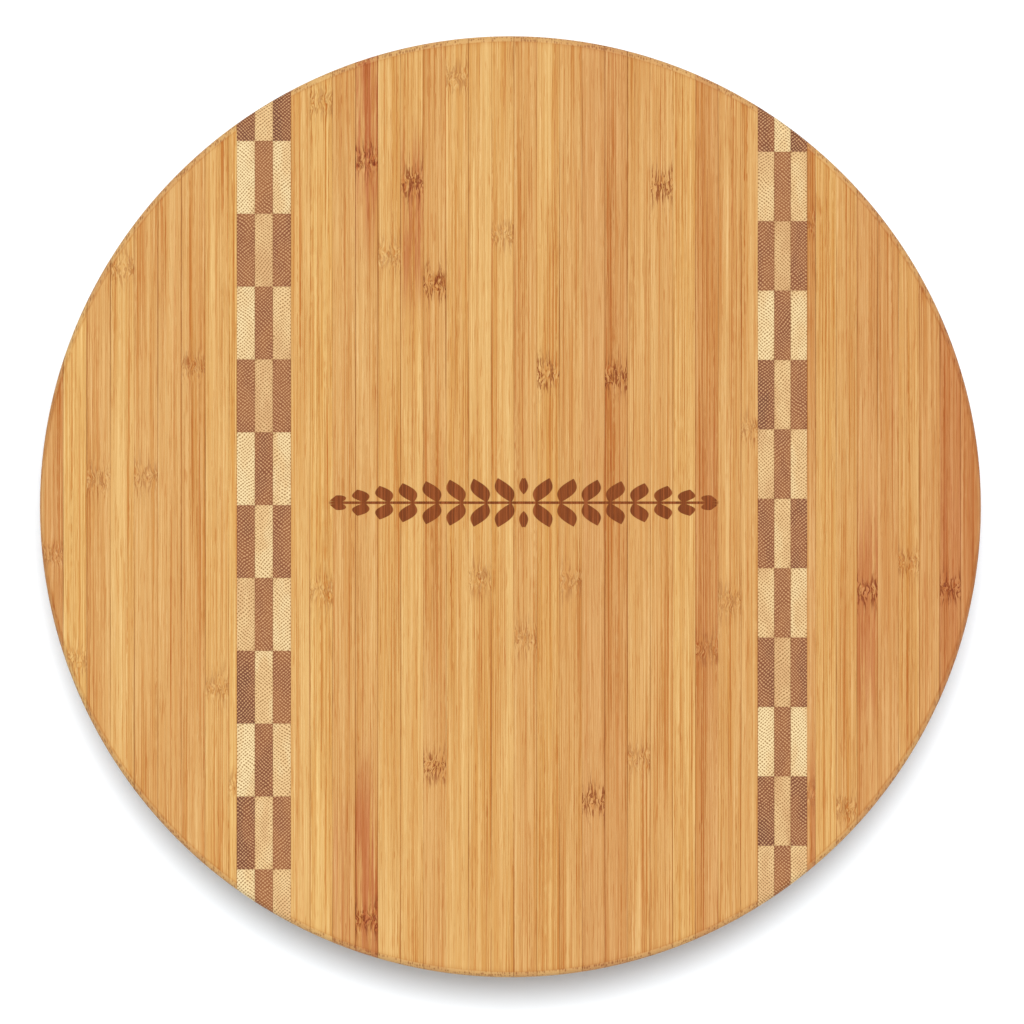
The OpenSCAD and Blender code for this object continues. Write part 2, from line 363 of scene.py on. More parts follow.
        def streaks(width: float, length: float, detail: float, low: float, high: float) -> Socket:
            """Noise drawn out along the fibres, stretched to run from 0 to 1.

            Args:
                width: Size across the fibres in millimetres.
                length: Size along the fibres in millimetres.
                detail: The noise's octaves.
                low: The noise that becomes 0.
                high: The noise that becomes 1.

            Returns:
                The stretched noise.
            """
            scale = (1 / width, 1 / length, 1 / width)
            at = g.add("VectorMath", {"operation": "MULTIPLY"}, {0: bent, 1: scale})
            noise = g.add(
                "TexNoise", {}, {"Vector": at, "Scale": 1, "Detail": detail, "Roughness": 0.6}
            )
            return g.add("MapRange", SMOOTH, {0: noise, 1: low, 2: high, 3: 0, 4: 1})

        fibre = streaks(self.fibre_w, self.fibre_l * 1.5, 2, 0.38, 0.62)
        stripe = streaks(self.stripe_w, self.fibre_l * 5, 3, 0.38, 0.63)
        band = streaks(self.band_w, self.fibre_l * 5, 2, 0.37, 0.66)
        hair = streaks(self.hair_w, self.fibre_l * 3, 1, 0.55, 0.61)
        pale_hair = streaks(self.hair_w, self.fibre_l * 0.9, 1, 0.28, 0.42)
        fleck = streaks(self.hair_w, self.fleck_l, 1, 0.6, 0.68)
        bunch = g.add("Math", {"operation": "MULTIPLY_ADD"}, {0: band, 1: 0.75, 2: 0.25})
        hair = g.add("Math", {"operation": "MULTIPLY"}, {0: hair, 1: bunch})
        # The stave's own colour, reddened where the cane was stained
        tint = g.add(
            "Mix", COLOUR, {0: value["shade"], 6: linear(self.palest), 7: linear(self.reddest)}, 2
        )
        patchy = streaks(1.3, 50, 3, 0.4, 0.58)
        stained = g.add("Math", {"operation": "MULTIPLY_ADD"}, {0: patchy, 1: 0.8, 2: 0.2})
        stained = g.add("Math", {"operation": "MULTIPLY"}, {0: value["stain"], 1: stained})
        tint = g.add("Mix", COLOUR, {0: stained, 6: tint, 7: linear(self.stain)}, 2)
        light = g.add("Mix", STAIN, {0: 1.0, 6: tint, 7: (1.14, 1.23, 1.4, 1)}, 2)
        dark = g.add("Mix", STAIN, {0: 1.0, 6: tint, 7: (0.87, 0.66, 0.42, 1)}, 2)
        grain = g.add("Math", {"operation": "MULTIPLY"}, {0: fibre, 1: 0.38})
        grain = g.add("Math", {"operation": "MULTIPLY_ADD"}, {0: stripe, 1: 0.34, 2: grain})
        grain = g.add("Math", {"operation": "MULTIPLY_ADD"}, {0: band, 1: 0.28, 2: grain})
        colour = g.add("Mix", COLOUR, {0: grain, 6: light, 7: dark}, 2)
        # Knuckle: brushed strokes whose reach differs from fibre to fibre
        reach = streaks(1.0, 400, 2, 0.3, 0.7)
        reach = g.add(
            "Math", {"operation": "MULTIPLY_ADD"}, {0: reach, 1: self.knuckle_reach * 1.1, 2: 3.4}
        )
        stroke = g.add("Math", {"operation": "DIVIDE"}, {0: value["knuckle"], 1: reach})
        stroke = g.add("MapRange", SMOOTH, {0: stroke, 1: 0.2, 2: 0.85, 3: 1, 4: 0})
        stroke = g.add("Math", {"operation": "MULTIPLY"}, {0: stroke, 1: value["force"]})
        brush = streaks(0.56, 6.5, 2, 0.5, 0.56)
        # Pale strokes paired with the dark ones are painted highlights, which give the knuckle an
        # embossed look
        painted_highlight = streaks(0.56, 6.5, 2, 0.47, 0.4)
        painted_highlight = g.add("Math", {"operation": "MULTIPLY"}, {0: stroke, 1: painted_highlight})
        stroke = g.add("Math", {"operation": "MULTIPLY"}, {0: stroke, 1: brush})
        haze = g.add("Math", {"operation": "POWER"}, {0: near, 1: 2})
        haze = g.add("Math", {"operation": "MULTIPLY"}, {0: haze, 1: value["force"]})
        # Glue line along each side, dark in a few stretches and hardly seen in the rest
        glue = g.add("MapRange", SMOOTH, {0: value["side"], 1: 0.05, 2: 0.38, 3: 1, 4: 0})
        showing = streaks(9, 110, 1, 0.42, 0.64)
        showing = g.add("Math", {"operation": "MAXIMUM"}, {0: showing, 1: value["joint"]})
        glue = g.add("Math", {"operation": "MULTIPLY"}, {0: glue, 1: showing})
        pale_hair = g.add("Math", {"operation": "SUBTRACT"}, {0: 1, 1: pale_hair})
        sprig = self.sprig(g, spot)
        for mask, share, tone in (
            (hair, 0.9, (0.8, 0.53, 0.28, 1)),
            (fleck, 0.6, (0.8, 0.58, 0.36, 1)),
            (pale_hair, 0.6, (1.12, 1.24, 1.5, 1)),
            (haze, 0.45, (0.86, 0.66, 0.5, 1)),
            # painted highlight beside the knuckle strokes
            (painted_highlight, 0.5, (1.12, 1.24, 1.4, 1)),
            (stroke, 1.0, (0.5, 0.29, 0.17, 1)),
            (glue, 0.8, (0.6, 0.4, 0.26, 1)),
        ):
            mask = g.add("Math", {"operation": "MULTIPLY"}, {0: mask, 1: share})
            colour = g.add("Mix", STAIN, {0: mask, 6: colour, 7: tone}, 2)
        char = g.add("Mix", COLOUR, {0: fibre, 6: linear("84400c"), 7: linear(self.scorch)}, 2)
        colour = g.add("Mix", COLOUR, {0: sprig, 6: colour, 7: char}, 2)
        # End grain where the rim cuts across the fibres
        turn = g.add("TexCoord", out="Normal")
        across = g.add("SeparateXYZ", {}, {0: turn}, "Y")
        across = g.add("Math", {"operation": "ABSOLUTE"}, {0: across})
        ends = g.add("MapRange", SMOOTH, {0: across, 1: 0.06, 2: 0.3, 3: 0, 4: 1})
        crisp = g.add("MapRange", SMOOTH, {0: across, 1: 0.02, 2: 0.1, 3: 0, 4: 1})
        crisp = g.add("Math", {"operation": "SUBTRACT"}, {0: crisp, 1: ends})
        pitch = 1 / self.dot_pitch
        dot_at = g.add(
            "VectorMath", {"operation": "MULTIPLY"}, {0: place, 1: (pitch, pitch / 6, pitch)}
        )
        dots = g.add(
            "TexVoronoi", {}, {"Vector": dot_at, "Scale": 1, "Randomness": 0.55}, "Distance"
        )
        dots = g.add("MapRange", SMOOTH, {0: dots, 1: 0.2, 2: 0.5, 3: 1, 4: 0})
        cut = g.add("Mix", STAIN, {0: 1.0, 6: tint, 7: (1.0, 0.97, 1.06, 1)}, 2)
        cut = g.add("Mix", STAIN, {0: dots, 6: cut, 7: (0.62, 0.48, 0.42, 1)}, 2)
        cut = g.add("Mix", STAIN, {0: glue, 6: cut, 7: (0.62, 0.46, 0.34, 1)}, 2)
        colour = g.add("Mix", STAIN, {0: crisp, 6: colour, 7: (0.86, 0.74, 0.62, 1)}, 2)
        colour = g.add("Mix", COLOUR, {0: ends, 6: colour, 7: cut}, 2)
        # Sanding leaves the hard fibres a little proud and shinier than the soft wood between
        gloss = g.add(
            "MapRange", {}, {0: fibre, 3: self.roughness - 0.05, 4: self.roughness + 0.1}
        )
        deep = g.add("Math", {"operation": "ADD"}, {0: hair, 1: stroke})
        relief = g.add("Math", {"operation": "SUBTRACT"}, {0: fibre, 1: deep})
        relief = g.add("Math", {"operation": "SUBTRACT"}, {0: relief, 1: glue})
        relief = g.add("Math", {"operation": "MULTIPLY_ADD"}, {0: sprig, 1: -2.0, 2: relief})
        bump = g.add("Bump", {}, {"Strength": 0.6, "Distance": 0.00012, "Height": relief})
        g.fill(
            g.shader,
            {"Base Color": colour, "Roughness": gloss, "Normal": bump, "Specular IOR Level": 0.2},
        )
        return g.material


@dataclass(frozen=True)
class EndGrainBamboo:
    """Bamboo cut across its fibres into blocks, sanded and wiped with oil.

    It gives the eye close slanting rows of small dots, the cut fibre bundles, as in a weave.
    """

    name: str
    ground: str
    warm: str
    deep: str
    bundle: str
    strength: float
    row_pitch: float = 0.98  # mm between rows of fibre bundles
    slant: float = 48.0  # degrees
    roughness: float = 0.64

    def material(self) -> bpy.types.Material:
        """Builds the material.

        The dots are where w sin(u) + (1 - w) sin(v) is high, with u and v the distances along two
        slanting directions times 2 pi / pitch, and w a slow noise that favours one slant.

        Returns:
            The material, which reads each block's seed, shade and side values.
        """
        g = Graph(self.name)
        seed = g.add("Attribute", {"attribute_name": "seed"}, out="Vector")
        shade = g.add("Attribute", {"attribute_name": "shade"}, out="Fac")
        side = g.add("Attribute", {"attribute_name": "side"}, out="Fac")
        spot = g.add("TexCoord", out="Object")
        place = g.add(
            "VectorMath", {"operation": "MULTIPLY_ADD"}, {0: spot, 1: (1000, 1000, 1000), 2: seed}
        )
        slow = g.add("VectorMath", {"operation": "MULTIPLY"}, {0: place, 1: (0.14, 0.1, 0.05)})
        slow_noise = g.add("TexNoise", {}, {"Vector": slow, "Scale": 1, "Detail": 2}, "Color")
        warp = g.add("VectorMath", {"operation": "SCALE"}, {0: slow_noise, "Scale": 2.8})
        warped = g.add("VectorMath", {}, {0: place, 1: warp})
        favour = g.add("SeparateXYZ", {}, {0: slow_noise}, "Z")
        favour = g.add("MapRange", SMOOTH, {0: favour, 1: 0.4, 2: 0.6, 3: 0.4, 4: 0.6})
        other = g.add("Math", {"operation": "SUBTRACT"}, {0: 1, 1: favour})
        k = 2 * pi / self.row_pitch
        weave: Socket | float = 0.0
        for lean, weight in ((self.slant, favour), (180 - self.slant, other)):
            way = (k * cos(radians(lean)), k * sin(radians(lean)), 0)
            along = g.add("VectorMath", {"operation": "DOT_PRODUCT"}, {0: warped, 1: way}, "Value")
            wave = g.add("Math", {"operation": "SINE"}, {0: along})
            weave = g.add("Math", {"operation": "MULTIPLY_ADD"}, {0: wave, 1: weight, 2: weave})
        grit_at = g.add("VectorMath", {"operation": "MULTIPLY"}, {0: place, 1: (1.3, 1.3, 0.1)})
        grit = g.add("TexNoise", {}, {"Vector": grit_at, "Scale": 1, "Detail": 1})
        weave = g.add("Math", {"operation": "MULTIPLY_ADD"}, {0: grit, 1: 0.95, 2: weave})
        dot = g.add("MapRange", SMOOTH, {0: weave, 1: 0.55, 2: 0.98, 3: 0, 4: 1})
        cloud_at = g.add(
            "VectorMath", {"operation": "MULTIPLY"}, {0: place, 1: (0.16, 0.06, 0.05)}
        )
        cloud = g.add("TexNoise", {}, {"Vector": cloud_at, "Scale": 1, "Detail": 2})
        cloud = g.add("MapRange", SMOOTH, {0: cloud, 1: 0.35, 2: 0.65, 3: -0.22, 4: 0.22})
        depth = g.add("Math", {"use_clamp": True}, {0: shade, 1: cloud})
        first = g.add("MapRange", {}, {0: depth, 1: 0, 2: 0.5, 3: 0, 4: 1})
        second = g.add("MapRange", {}, {0: depth, 1: 0.5, 2: 1, 3: 0, 4: 1})
        ground = g.add("Mix", COLOUR, {0: first, 6: linear(self.ground), 7: linear(self.warm)}, 2)
        ground = g.add("Mix", COLOUR, {0: second, 6: ground, 7: linear(self.deep)}, 2)
        share = g.add("Math", {"operation": "MULTIPLY"}, {0: dot, 1: self.strength})
        colour = g.add("Mix", COLOUR, {0: share, 6: ground, 7: linear(self.bundle)}, 2)
        seam = g.add("MapRange", SMOOTH, {0: side, 1: 0.05, 2: 0.3, 3: 0.25, 4: 0})
        colour = g.add("Mix", STAIN, {0: seam, 6: colour, 7: (0.6, 0.45, 0.34, 1)}, 2)
        relief = g.add("Math", {"operation": "ADD"}, {0: dot, 1: seam})
        bump = g.add(
            "Bump", {"invert": True}, {"Strength": 0.3, "Distance": 0.0001, "Height": relief}
        )
        gloss = g.add("MapRange", {}, {0: dot, 3: self.roughness, 4: self.roughness + 0.1})
        g.fill(
            g.shader,
            {"Base Color": colour, "Roughness": gloss, "Normal": bump, "Specular IOR Level": 0.2},
        )
        return g.material


@dataclass(frozen=True)
class PressedBamboo:
    """One ply of the base: wide bamboo strips pressed flat side by side, sanded and oiled.

    It gives the eye broad strips of slightly different straw, each with fine fibres.
    """

    name: str
    along_x: bool
    pale: str = "c29a60"
    deep: str = "9e6f3c"
    strip_w: float = 19.0  # mm
    fibre_w: float = 0.6  # mm; real fibres are about 0.3 mm, drawn coarser so that they show
    roughness: float = 0.64

    def material(self) -> bpy.types.Material:
        """Builds the material.

        Returns:
            The material, with its grain along X or along Y.
        """
        g = Graph(self.name)
        turn = radians(90) if self.along_x else 0.0
        spot = g.add("TexCoord", out="Object")
        place = g.add(
            "Mapping", {}, {"Vector": spot, "Rotation": (0, 0, turn), "Scale": (1000, 1000, 1000)}
        )
        across = g.add("SeparateXYZ", {}, {0: place}, "X")
        strip = g.add("Math", {"operation": "DIVIDE"}, {0: across, 1: self.strip_w})
        number = g.add("Math", {"operation": "FLOOR"}, {0: strip})
        own = g.add("TexWhiteNoise", {"noise_dimensions": "1D"}, {"W": number}, "Value")
        part = g.add("Math", {"operation": "FRACT"}, {0: strip})
        part = g.add("Math", {"operation": "PINGPONG"}, {0: part, 1: 0.5})
        seam = g.add("MapRange", SMOOTH, {0: part, 1: 0.004, 2: 0.018, 3: 0.7, 4: 0})
        shift = g.add("CombineXYZ", {}, {1: own})
        shift = g.add("VectorMath", {"operation": "SCALE"}, {0: shift, "Scale": 900})
        moved = g.add("VectorMath", {}, {0: place, 1: shift})
        scale = (1 / self.fibre_w, 1 / 55, 1 / self.fibre_w)
        at = g.add("VectorMath", {"operation": "MULTIPLY"}, {0: moved, 1: scale})
        fibre = g.add("TexNoise", {}, {"Vector": at, "Scale": 1, "Detail": 3, "Roughness": 0.6})
        grain = g.add("MapRange", SMOOTH, {0: fibre, 1: 0.36, 2: 0.64, 3: 0, 4: 0.7})
        grain = g.add(
            "Math", {"operation": "MULTIPLY_ADD", "use_clamp": True}, {0: own, 1: 0.4, 2: grain}
        )
        colour = g.add("Mix", COLOUR, {0: grain, 6: linear(self.pale), 7: linear(self.deep)}, 2)
        colour = g.add("Mix", STAIN, {0: seam, 6: colour, 7: (0.55, 0.4, 0.3, 1)}, 2)
        # End grain shows where the ply's rim cuts across its fibres
        facing = g.add("TexCoord", out="Normal")
        facing = g.add("SeparateXYZ", {}, {0: facing}, "X" if self.along_x else "Y")
        facing = g.add("Math", {"operation": "ABSOLUTE"}, {0: facing})
        ends = g.add("MapRange", SMOOTH, {0: facing, 1: 0.2, 2: 0.7, 3: 0, 4: 1})
        dot_at = g.add("VectorMath", {"operation": "MULTIPLY"}, {0: place, 1: (0.85, 0.12, 0.85)})
        dots = g.add("TexVoronoi", {}, {"Vector": dot_at, "Scale": 1}, "Distance")
        dots = g.add("MapRange", SMOOTH, {0: dots, 1: 0.2, 2: 0.5, 3: 0.8, 4: 0})
        dots = g.add("Math", {"operation": "MULTIPLY"}, {0: dots, 1: ends})
        colour = g.add("Mix", STAIN, {0: dots, 6: colour, 7: (0.55, 0.42, 0.32, 1)}, 2)
        bump = g.add("Bump", {}, {"Strength": 0.3, "Distance": 0.0001, "Height": fibre})
        low, high = self.roughness - 0.05, self.roughness + 0.12
        gloss = g.add("MapRange", {}, {0: fibre, 1: 0.3, 2: 0.7, 3: low, 4: high})
        g.fill(
            g.shader,
            {"Base Color": colour, "Roughness": gloss, "Normal": bump, "Specular IOR Level": 0.2},
        )
        return g.material


@dataclass(frozen=True)
class GalvanisedSteel:
    """Mild steel sheet, hot-dip galvanised and then pressed.

    It gives the eye a dull grey metal with faint crystal patches and fine press scuffs.
    """

    name: str = "galvanised steel sheet pressed"
    zinc: str = "b9bcbe"
    shadow: str = "8f9497"
    spangle: float = 7.0  # mm across a zinc crystal
    roughness: float = 0.38

    def material(self) -> bpy.types.Material:
        """Builds the material.

        Returns:
            The material.
        """
        g = Graph(self.name)
        spot = g.add("TexCoord", out="Object")
        place = g.add("VectorMath", {"operation": "SCALE"}, {0: spot, "Scale": 1000})
        warp = g.add("TexNoise", {}, {"Vector": place, "Scale": 0.4, "Detail": 3}, "Color")
        warp = g.add("VectorMath", {"operation": "SCALE"}, {0: warp, "Scale": 4})
        at = g.add("VectorMath", {}, {0: place, 1: warp})
        crystal = g.add("TexVoronoi", {}, {"Vector": at, "Scale": 1 / self.spangle}, "Color")
        tone = g.add("SeparateColor", {}, {0: crystal})
        scuff_at = g.add("VectorMath", {"operation": "MULTIPLY"}, {0: place, 1: (2.2, 0.12, 2.2)})
        scuff = g.add(
            "TexNoise", {}, {"Vector": scuff_at, "Scale": 1, "Detail": 3, "Roughness": 0.7}
        )
        mixed = g.add("Math", {"operation": "MULTIPLY_ADD"}, {0: scuff, 1: 0.5, 2: tone})
        share = g.add("MapRange", {}, {0: mixed, 1: 0.1, 2: 1.3, 3: 0, 4: 1})
        colour = g.add("Mix", COLOUR, {0: share, 6: linear(self.shadow), 7: linear(self.zinc)}, 2)
        low, high = self.roughness + 0.14, self.roughness - 0.08
        gloss = g.add("MapRange", {}, {0: mixed, 1: 0.1, 2: 1.3, 3: low, 4: high})
        bump = g.add("Bump", {}, {"Strength": 0.2, "Distance": 0.00008, "Height": scuff})
        g.fill(
            g.shader, {"Base Color": colour, "Metallic": 1.0, "Roughness": gloss, "Normal": bump}
        )
        return g.material


@dataclass(frozen=True)
class BrightMetal:
    """Turned or rolled steel with a bright surface, as screws and balls have.

    It gives the eye clean reflections, with a faint cloudiness from the plating or polish.
    """

    name: str
    bright: str
    cloud: str
    roughness: float

    def material(self) -> bpy.types.Material:
        """Builds the material.

        Returns:
            The material.
        """
        g = Graph(self.name)
        spot = g.add("TexCoord", out="Object")
        place = g.add("VectorMath", {"operation": "SCALE"}, {0: spot, "Scale": 1000})
        noise = g.add(
            "TexNoise", {}, {"Vector": place, "Scale": 0.9, "Detail": 4, "Roughness": 0.65}
        )
        share = g.add("MapRange", {}, {0: noise, 1: 0.35, 2: 0.7, 3: 0, 4: 1})
        colour = g.add("Mix", COLOUR, {0: share, 6: linear(self.bright), 7: linear(self.cloud)}, 2)
        low, high = self.roughness, self.roughness + 0.12
        gloss = g.add("MapRange", {}, {0: noise, 1: 0.3, 2: 0.7, 3: low, 4: high})
        bump = g.add("Bump", {}, {"Strength": 0.1, "Distance": 0.00004, "Height": noise})
        g.fill(
            g.shader, {"Base Color": colour, "Metallic": 1.0, "Roughness": gloss, "Normal": bump}
        )
        return g.material


@dataclass(frozen=True)
class MouldedPolymer:
    """A moulded polymer, such as the cage's nylon or the feet's rubber.

    It gives the eye a soft colour with a fine moulded texture and broad patches of a worn tone,
    which on rubber is a dusty grey.
    """

    name: str
    body: str
    worn: str
    roughness: float
    grit: float  # mm across the moulded texture
    relief: float

    def material(self) -> bpy.types.Material:
        """Builds the material.

        Returns:
            The material.
        """
        g = Graph(self.name)
        spot = g.add("TexCoord", out="Object")
        place = g.add("VectorMath", {"operation": "SCALE"}, {0: spot, "Scale": 1000})
        fine = g.add("TexNoise", {}, {"Vector": place, "Scale": 1 / self.grit, "Detail": 3})
        broad = g.add(
            "TexNoise", {}, {"Vector": place, "Scale": 0.18, "Detail": 4, "Roughness": 0.6}
        )
        share = g.add("MapRange", {}, {0: broad, 1: 0.42, 2: 0.75, 3: 0, 4: 1})
        colour = g.add("Mix", COLOUR, {0: share, 6: linear(self.body), 7: linear(self.worn)}, 2)
        low, high = self.roughness - 0.05, self.roughness + 0.08
        gloss = g.add("MapRange", {}, {0: fine, 1: 0.3, 2: 0.7, 3: low, 4: high})
        bump = g.add("Bump", {}, {"Strength": 0.4, "Distance": self.relief, "Height": fine})
        g.fill(g.shader, {"Base Color": colour, "Roughness": gloss, "Normal": bump, "IOR": 1.52})
        return g.material


# ---- Board ----


class Shade(Enum):
    """How red a bamboo strip is, from the palest straw at 0 to the reddest at 1."""

    STRAW = 0.04
    HONEY = 0.2
    AMBER = 0.38
    TOFFEE = 0.58
    RUSSET = 0.9


@dataclass(frozen=True)
class Stave:
    """One stave: its shade, its faint and bold knuckles' heights, its stains and its joints.

    Heights are in millimetres from the board's centre, along the grain. A stain is its centre's
    height, its reach and its depth.
    """

    shade: Shade
    faint: tuple[float, ...] = ()
    bold: tuple[float, ...] = ()
    stains: tuple[tuple[float, float, float], ...] = ()
    dark_joints: bool = False


@dataclass
class Board:
    """The round board: three panels of staves with a chequered inlay between each two."""

    radius: float = 177.8
    thickness: float = 18.0
    edge_r: float = 2.5
    bottom: float = 22.0
    left_inlay: tuple[float, float] = (-103.3, -82.9)
    right_inlay: tuple[float, float] = (93.4, 112.0)
    left_trim: float = 3.0
    centre_trims: tuple[float, float] = (7.2, 6.4)
    right_trim: float = 3.2
    left_block: tuple[float, float] = (27.5, 0.6)
    right_block: tuple[float, float] = (26.2, 3.0)
    arris: float = 0.1  # mm taken off each glued piece's long edges by sanding
    columns: int = 3

    LEFT: ClassVar[tuple[Stave, ...]] = (
        Stave(Shade.TOFFEE, (-18,)),
        Stave(Shade.STRAW, (-58,)),
        Stave(Shade.AMBER, (10,)),
        Stave(Shade.HONEY, (90,)),
        Stave(Shade.AMBER, (11, -190)),
        Stave(Shade.AMBER, (-178,)),
        Stave(Shade.AMBER, (53,)),
        Stave(Shade.HONEY, (-68,)),
        Stave(Shade.STRAW, (-105,)),
    )
    CENTRE: ClassVar[tuple[Stave, ...]] = (
        Stave(Shade.HONEY),
        Stave(Shade.STRAW, (153, -32)),
        Stave(Shade.AMBER, stains=((-140, 30, 0.4),)),
        Stave(Shade.AMBER, (), (131, -156), ((146, 45, 0.85), (-138, 42, 0.8)), True),
        Stave(Shade.HONEY, (95,)),
        Stave(Shade.HONEY, (), (122,), ((108, 30, 0.7),)),
        Stave(Shade.AMBER, (), (84, -98)),
        Stave(Shade.HONEY, (162,)),
        Stave(Shade.HONEY, (-27,)),
        Stave(Shade.HONEY, (103,)),
        Stave(Shade.AMBER, (-50,)),
        Stave(Shade.HONEY, (), (50,)),
        Stave(Shade.AMBER, (-28,)),
        Stave(Shade.TOFFEE, (), (-111,)),
        Stave(Shade.TOFFEE, (), (49,), dark_joints=True),
        Stave(Shade.AMBER, (-95,)),
        Stave(Shade.AMBER, (), (121,)),
        Stave(Shade.HONEY),
        Stave(Shade.TOFFEE, (-54,), (), ((-20, 60, 0.25),)),
        Stave(Shade.AMBER, (-36,)),
        Stave(Shade.AMBER, (29,)),
    )
    RIGHT: ClassVar[tuple[Stave, ...]] = (
        Stave(Shade.TOFFEE, (107, -108), (), ((-120, 30, 0.4),)),
        Stave(Shade.HONEY),
        Stave(Shade.AMBER, (-114,)),
        Stave(Shade.TOFFEE, (), (-32,), ((-40, 40, 0.6),)),
        Stave(Shade.TOFFEE),
        Stave(Shade.AMBER, (-21,)),
        Stave(Shade.TOFFEE, (87,)),
        Stave(Shade.RUSSET, (), (-31,), ((0, 60, 0.3),)),
        Stave(Shade.RUSSET),
    )

    def piece(
        self,
        shell: Shell,
        x: tuple[float, float],
        y: tuple[float, float],
        columns: int,
        rows: int,
        **marks: Mark,
    ) -> None:
        """Adds the part of the round board that lies between two planes each way.

        At x the rim's radius is R - e + e cos t, its height above or below the flat part of the
        wall is e sin t, and t runs from 0 to acos((sqrt(x^2 + c^2) - R + e) / e), at most 90
        degrees, where c is the piece's nearest distance from the centre along the grain. The
        rim lies at y = sqrt(radius^2 - x^2), held between the two planes.

        Args:
            shell: Where the surfaces go.
            x: The piece's left and right limits, in millimetres.
            y: The piece's lower and upper limits, in millimetres.
            columns: The number of steps across the piece.
            rows: The number of steps along its face.
            **marks: Numbers or functions of y in millimetres, by attribute name.
        """
        big, edge, half = self.radius, self.edge_r, self.thickness / 2
        near = 0.0 if y[0] <= 0 <= y[1] else min(abs(y[0]), abs(y[1]))
        reach = sqrt(big * big - near * near)
        x0, x1 = max(x[0], -reach), min(x[1], reach)
        inner = np.linspace(x0 + self.arris, x1 - self.arris, columns)
        xs = np.concatenate([[x0], inner, [x1]])[:, None]
        # A side that only touches the rim has no wall, no arris and no glue
        glued = (x[0] > -reach, x[1] < reach)
        drop = np.zeros_like(xs)
        drop[[0, -1], 0] = np.where(glued, self.arris, 0)
        away = np.sqrt(xs**2 + near**2)
        most = np.arccos(np.clip((away - big + edge) / edge, 0, 1))
        # One side's climb: from mid-height up the wall, round the edge and onto the face
        rounded = np.hypot(max(-x[0], x[1]), max(-y[0], y[1])) > big - edge
        turn = most * (np.linspace(0, 1, 8) if rounded else np.ones(1))[None, :]
        radius = big - edge + edge * np.cos(turn)
        climb_y = np.sqrt(np.maximum(radius**2 - xs**2, near**2))
        climb_z = half - edge + edge * np.sin(turn)
        climb_y = np.hstack([climb_y[:, :1], climb_y])
        climb_z = np.hstack([0 * xs, climb_z])
        far = np.clip(climb_y, y[0], y[1])
        low = np.clip(-climb_y, y[0], y[1])
        share = np.linspace(0, 1, rows + 1)[None, 1:-1]
        face_y = far[:, -1:] * (1 - share) + low[:, -1:] * share
        ys = np.hstack([far, face_y, low[:, ::-1]])
        zs = np.hstack([climb_z, np.repeat(climb_z[:, -1:], rows - 1, 1), climb_z[:, ::-1]])
        zs = zs * (1 - drop / half)
        top = np.stack([xs + 0 * ys, ys, zs], -1)
        below = top * (1, 1, -1)
        lift = np.array([0, 0, self.bottom + half])
        left = xs - x0 if glued[0] else big
        right = x1 - xs if glued[1] else big
        side = np.minimum(left, right) + 0 * ys
        if y[0] > -big:
            side = np.minimum(side, np.minimum(ys - y[0], y[1] - ys))
        found = {key: mark(ys) if callable(mark) else mark for key, mark in marks.items()}
        layers = {"side": np.maximum(side, 0), **{k: v + 0 * ys for k, v in found.items()}}
        shell.grid((top + lift) * MM, flip=True, **layers)
        shell.grid((below + lift) * MM, **layers)
        for end, flip, stands in ((0, True, glued[0]), (-1, False, glued[1])):
            if not stands:
                continue
            middle = top[end] * (1, 0.95, 0) + (0, 0.05 * ys[end].mean(), 0)
            wall = np.stack([below[end], middle, top[end]])
            ends = {k: np.stack([v[end]] * 3) for k, v in layers.items()}
            shell.grid((wall + lift) * MM, flip=flip, **ends)

    def stave(
        self,
        name: str,
        stave: Stave,
        x: tuple[float, float],
        seed: float,
        finish: bpy.types.Material,
    ) -> None:
        """Builds one stave.

        Args:
            name: The CAD node that it stands for.
            stave: Its shade, knuckles and stains.
            x: Its left and right sides, in millimetres.
            seed: A number that sets its figure apart from its neighbours'.
            finish: The staves' material.
        """

        def knuckle(y: np.ndarray) -> np.ndarray:
            """Gives the distance to the nearest knuckle, min over k of |y - y_k|, up to 60 mm."""
            found = [np.abs(y - k) for k in stave.faint + stave.bold]
            return np.min([np.full_like(y, 60.0), *found], 0)

        def force(y: np.ndarray) -> np.ndarray:
            """Gives the knuckles' strength, 1 within 25 mm of a bold one and 0.45 elsewhere."""
            found = [np.abs(y - k) for k in stave.bold]
            return np.where(np.min([np.full_like(y, 60.0), *found], 0) < 25, 1.0, 0.45)

        def stain(y: np.ndarray) -> np.ndarray:
            """Gives the stain's depth, sum over s of d_s exp(-((y - c_s) / r_s)^4)."""
            return sum((d * np.exp(-(((y - c) / r) ** 4)) for c, r, d in stave.stains), 0 * y)

        shell = Shell()
        span = self.radius * 2
        steep = max(abs(x[0]), abs(x[1])) > self.radius - 12
        self.piece(
            shell, x, (-span, span), 24 if steep else 9, 120,
            seed=seed, shade=stave.shade.value, knuckle=knuckle, force=force,
            stain=stain, joint=float(stave.dark_joints),
        )
        mount(shell.build(name + "_planed", finish), "turntable", name)

    def panel(
        self,
        side: str,
        staves: tuple[Stave, ...],
        cuts: list[float],
        finish: bpy.types.Material,
    ) -> None:
        """Builds one panel of staves.

        Args:
            side: The panel's name.
            staves: Its staves, from left to right.
            cuts: The sides between which they lie, one more than there are staves.
            finish: The staves' material.
        """
        for i, stave in enumerate(staves):
            seed = 37.0 * (i + 1) + {"left": 0, "centre": 1400, "right": 2900}[side]
            self.stave(f"{side}_stave_{i + 1}", stave, (cuts[i], cuts[i + 1]), seed, finish)

    def inlay(
        self,
        side: str,
        x: tuple[float, float],
        block: tuple[float, float],
        light: bool,
        finish: bpy.types.Material,
    ) -> None:
        """Builds the blocks of one shade of one inlay.

        Args:
            side: The inlay's name.
            x: The inlay's left and right sides, in millimetres.
            block: A block's length, and the height of the cross joint nearest the centre.
            light: Whether these are the light blocks.
            finish: The blocks' material.
        """
        length, joint = block
        width = (x[1] - x[0]) / self.columns
        rng = np.random.default_rng(11 if side == "left" else 23)
        shades = rng.uniform(0.0, 1.0, (40, self.columns))
